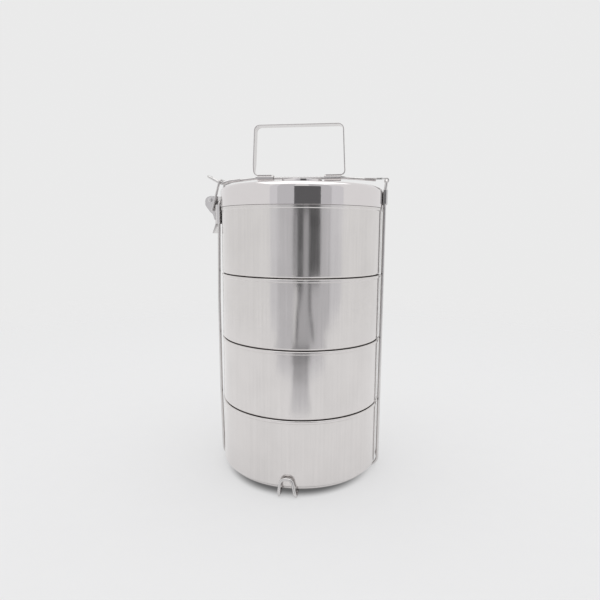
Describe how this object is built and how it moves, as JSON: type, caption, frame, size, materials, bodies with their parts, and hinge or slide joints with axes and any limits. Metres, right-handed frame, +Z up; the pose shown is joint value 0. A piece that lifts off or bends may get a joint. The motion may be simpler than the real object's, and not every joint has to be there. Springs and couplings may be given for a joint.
{
  "type": "tiffin carrier",
  "caption": "Stainless steel tiffin carrier: nested round bowls with a lid in a wire frame, closed by a hinged top bar with a strip handle and a toggle latch.",
  "frame": {"origin": "on the surface that it stands on, at the axis of the stacked bowls", "axes": "+Z up along the stack's axis; +X towards the upright that the top bar hinges on, -X towards the latch; -Y is the front"},
  "size_m": [0.1621, 0.1532, 0.3027],
  "materials": {
    "bowl_steel": "satin, fine upright brushing, rolled rim brighter",
    "lid_steel": "mirror polished band, soft polished top",
    "wire_steel": "drawn bright wire",
    "clip_steel": "plain cold rolled sheet with cut edges",
    "handle_steel": "polished strip"
  },
  "bodies": {
    "base_frame": {"upright_hinge": "wire_steel", "upright_latch": "wire_steel", "foot_loop_front": "wire_steel", "foot_loop_back": "wire_steel", "hinge_clip": "clip_steel", "latch_bracket": "clip_steel", "latch_pivot_rivet": "clip_steel"},
    "bowl_1": {"bowl_1": "bowl_steel"},
    "bowl_2": {"bowl_2": "bowl_steel"},
    "bowl_3": {"bowl_3": "bowl_steel"},
    "bowl_4": {"bowl_4": "bowl_steel"},
    "lid": {"lid": "lid_steel"},
    "top_bar": {"top_rod": "wire_steel", "hook_loop": "wire_steel", "hinge_fork": "clip_steel"},
    "handle": {"carry_handle": "handle_steel"},
    "bail": {"latch_bail": "wire_steel"},
    "lever": {"latch_lever": "clip_steel", "lever_pin": "clip_steel"}
  },
  "joints": [
    {"name": "bar_swing", "type": "hinge", "parent": "base_frame", "child": "top_bar", "pos_m": [0.0732, 0, 0.2548], "axis": [0, 1, 0], "range_deg": [0, 180]},
    {"name": "handle_fold", "type": "hinge", "parent": "top_bar", "child": "handle", "pos_m": [-0.005, 0, 0.2577], "axis": [1, 0, 0], "range_deg": [-78, 78]},
    {"name": "lever_open", "type": "hinge", "parent": "base_frame", "child": "lever", "pos_m": [-0.0821, 0, 0.2387], "axis": [0, 1, 0], "range_deg": [0, 120]},
    {"name": "bail_swing", "type": "hinge", "parent": "top_bar", "child": "bail", "pos_m": [-0.0722, 0, 0.2561], "axis": [0, 1, 0], "range_deg": [0, 36]},
    {"name": "bowl_1_lift", "type": "slide", "parent": "base_frame", "child": "bowl_1", "axis": [0, 0, 1], "range_m": [0, 0.008]},
    {"name": "bowl_2_lift", "type": "slide", "parent": "bowl_1", "child": "bowl_2", "axis": [0, 0, 1], "range_m": [0, 0.008]},
    {"name": "bowl_3_lift", "type": "slide", "parent": "bowl_2", "child": "bowl_3", "axis": [0, 0, 1], "range_m": [0, 0.008]},
    {"name": "bowl_4_lift", "type": "slide", "parent": "bowl_3", "child": "bowl_4", "axis": [0, 0, 1], "range_m": [0, 0.008]},
    {"name": "lid_lift", "type": "slide", "parent": "bowl_4", "child": "lid", "axis": [0, 0, 1], "range_m": [0, 0.008]}
  ],
  "couplings": [
    {"joint": "bail_swing", "follows": "lever_open", "ratio": 0.3},
    {"joint": "bowl_1_lift", "follows": "bar_swing", "m_per_rad": 0.0025},
    {"joint": "bowl_2_lift", "follows": "bar_swing", "m_per_rad": 0.0025},
    {"joint": "bowl_3_lift", "follows": "bar_swing", "m_per_rad": 0.0025},
    {"joint": "bowl_4_lift", "follows": "bar_swing", "m_per_rad": 0.0025},
    {"joint": "lid_lift", "follows": "bar_swing", "m_per_rad": 0.0025}
  ]
}
